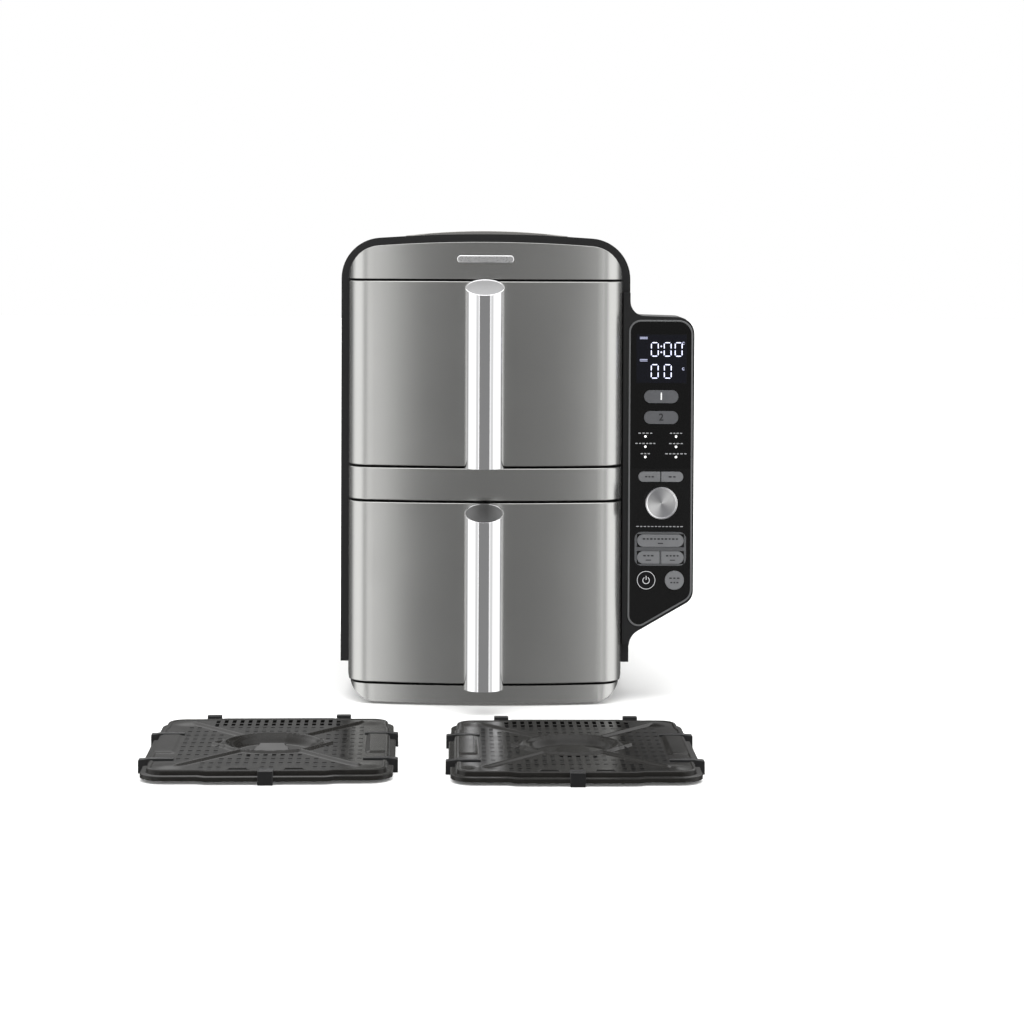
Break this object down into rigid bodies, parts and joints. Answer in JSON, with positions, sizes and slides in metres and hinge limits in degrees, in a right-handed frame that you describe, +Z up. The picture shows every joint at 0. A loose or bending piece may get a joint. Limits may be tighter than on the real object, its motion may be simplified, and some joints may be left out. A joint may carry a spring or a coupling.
{
  "type": "air fryer",
  "caption": "Stacked air fryer with two bowed drawers, upright tube handles, a control wing at the right and two loose crisper plates in front.",
  "frame": {"origin": "middle of the footprint of the fryer and its two plates together, on the worktop", "axes": "+X to the right seen from the front, +Y to the back, +Z up"},
  "size_m": [0.4158, 0.7394, 0.3855],
  "materials": {
    "metallic_grey_lacquer": "satin metallic lacquer on moulded plastic",
    "black_housing_plastic": "fine moulded texture",
    "silver_top_panel": "satin silver lacquer",
    "inner_black_plastic": "plain moulded",
    "black_panel_gloss": "polished moulding",
    "display_glass": "dark tinted pane",
    "silver_trim": "brushed, clear anodised",
    "grey_button_plastic": "smooth moulded keys",
    "black_button_plastic": "smooth moulded key",
    "spun_aluminium": "spun face, bright edge",
    "chrome_plate": "mirror plated tube with a satin end",
    "post_plastic": "plain moulded",
    "nonstick_coating": "dark non-stick coat on pressed aluminium",
    "silicone": "matt black silicone",
    "aluminised_sheet": "rolled aluminised steel",
    "heater_sheath": "oxidised heater sheath",
    "fan_aluminium": "stamped blades",
    "motor_steel": "laminations and windings",
    "circuit_board": "solder-masked board",
    "plated_steel": "zinc plated"
  },
  "bodies": {
    "root": {"side_cover_left": "black_housing_plastic", "side_cover_right": "black_housing_plastic", "top_cover": "black_housing_plastic", "top_panel": "silver_top_panel", "front_bezel": "black_housing_plastic", "top_fascia": "metallic_grey_lacquer", "middle_fascia": "metallic_grey_lacquer", "bottom_fascia": "metallic_grey_lacquer", "badge": "silver_trim", "rear_cover": "black_housing_plastic", "base_tray": "black_housing_plastic", "feet": "silicone", "divider_shelf": "aluminised_sheet", "upper_cavity": "aluminised_sheet", "lower_cavity": "aluminised_sheet", "drawer_runners": "inner_black_plastic", "heaters": "heater_sheath", "fan_grilles": "aluminised_sheet", "motors": "motor_steel", "motor_brackets": "aluminised_sheet", "power_board": "circuit_board", "control_board": "circuit_board", "wing_shell": "black_housing_plastic", "panel_face": "black_panel_gloss", "panel_trim": "silver_trim", "display_window": "display_glass", "door_switches": "inner_black_plastic", "encoder": "inner_black_plastic", "cord_gland": "black_housing_plastic", "rear_screws": "plated_steel"},
    "upper_drawer": {"upper_drawer_front": "metallic_grey_lacquer", "upper_front_backing": "inner_black_plastic", "upper_pan": "nonstick_coating", "upper_handle": "chrome_plate", "upper_handle_posts": "post_plastic"},
    "lower_drawer": {"lower_drawer_front": "metallic_grey_lacquer", "lower_front_backing": "inner_black_plastic", "lower_pan": "nonstick_coating", "lower_handle": "chrome_plate", "lower_handle_posts": "post_plastic"},
    "zone_1_key": {"zone_1_button": "grey_button_plastic"},
    "zone_2_key": {"zone_2_button": "grey_button_plastic"},
    "temperature_key": {"temperature_button": "grey_button_plastic"},
    "time_key": {"time_button": "grey_button_plastic"},
    "pair_key": {"pair_button": "grey_button_plastic"},
    "sync_key": {"sync_button": "grey_button_plastic"},
    "match_key": {"match_button": "grey_button_plastic"},
    "power_key": {"power_button": "black_button_plastic"},
    "start_key": {"start_button": "grey_button_plastic"},
    "dial": {"knob": "spun_aluminium", "encoder_shaft": "plated_steel"},
    "upper_rotor": {"upper_fan": "fan_aluminium", "upper_cooling_fan": "fan_aluminium"},
    "lower_rotor": {"lower_fan": "fan_aluminium", "lower_cooling_fan": "fan_aluminium"},
    "left_plate": {"left_crisper_plate": "nonstick_coating", "left_plate_bumpers": "silicone"},
    "right_plate": {"right_crisper_plate": "nonstick_coating", "right_plate_bumpers": "silicone"}
  },
  "joints": [
    {"name": "upper_drawer_slide", "type": "slide", "parent": "root", "child": "upper_drawer", "axis": [0, -1, 0], "range_m": [0, 0.215]},
    {"name": "lower_drawer_slide", "type": "slide", "parent": "root", "child": "lower_drawer", "axis": [0, -1, 0], "range_m": [0, 0.215]},
    {"name": "zone_1_press", "type": "slide", "parent": "root", "child": "zone_1_key", "axis": [0, 1, 0], "range_m": [0, 0.0008], "stiffness_N_per_m": 1500},
    {"name": "zone_2_press", "type": "slide", "parent": "root", "child": "zone_2_key", "axis": [0, 1, 0], "range_m": [0, 0.0008], "stiffness_N_per_m": 1500},
    {"name": "temperature_press", "type": "slide", "parent": "root", "child": "temperature_key", "axis": [0, 1, 0], "range_m": [0, 0.0008], "stiffness_N_per_m": 1500},
    {"name": "time_press", "type": "slide", "parent": "root", "child": "time_key", "axis": [0, 1, 0], "range_m": [0, 0.0008], "stiffness_N_per_m": 1500},
    {"name": "pair_press", "type": "slide", "parent": "root", "child": "pair_key", "axis": [0, 1, 0], "range_m": [0, 0.0008], "stiffness_N_per_m": 1500},
    {"name": "sync_press", "type": "slide", "parent": "root", "child": "sync_key", "axis": [0, 1, 0], "range_m": [0, 0.0008], "stiffness_N_per_m": 1500},
    {"name": "match_press", "type": "slide", "parent": "root", "child": "match_key", "axis": [0, 1, 0], "range_m": [0, 0.0008], "stiffness_N_per_m": 1500},
    {"name": "power_press", "type": "slide", "parent": "root", "child": "power_key", "axis": [0, 1, 0], "range_m": [0, 0.0008], "stiffness_N_per_m": 1500},
    {"name": "start_press", "type": "slide", "parent": "root", "child": "start_key", "axis": [0, 1, 0], "range_m": [0, 0.0008], "stiffness_N_per_m": 1500},
    {"name": "dial_turn", "type": "hinge", "parent": "root", "child": "dial", "pos_m": [0.18092, -0.02966, 0.1638], "axis": [0, 1, 0], "continuous": true},
    {"name": "upper_fan_spin", "type": "hinge", "parent": "root", "child": "upper_rotor", "pos_m": [0.03692, 0.27104, 0.2692], "axis": [0, 1, 0], "continuous": true},
    {"name": "lower_fan_spin", "type": "hinge", "parent": "root", "child": "lower_rotor", "pos_m": [0.03692, 0.27104, 0.0926], "axis": [0, 1, 0], "continuous": true},
    {"name": "left_plate_slide", "type": "slide", "parent": "root", "child": "left_plate", "axis": [0, -1, 0], "range_m": [0, 0.25]},
    {"name": "right_plate_slide", "type": "slide", "parent": "root", "child": "right_plate", "axis": [0, -1, 0], "range_m": [0, 0.25]}
  ]
}
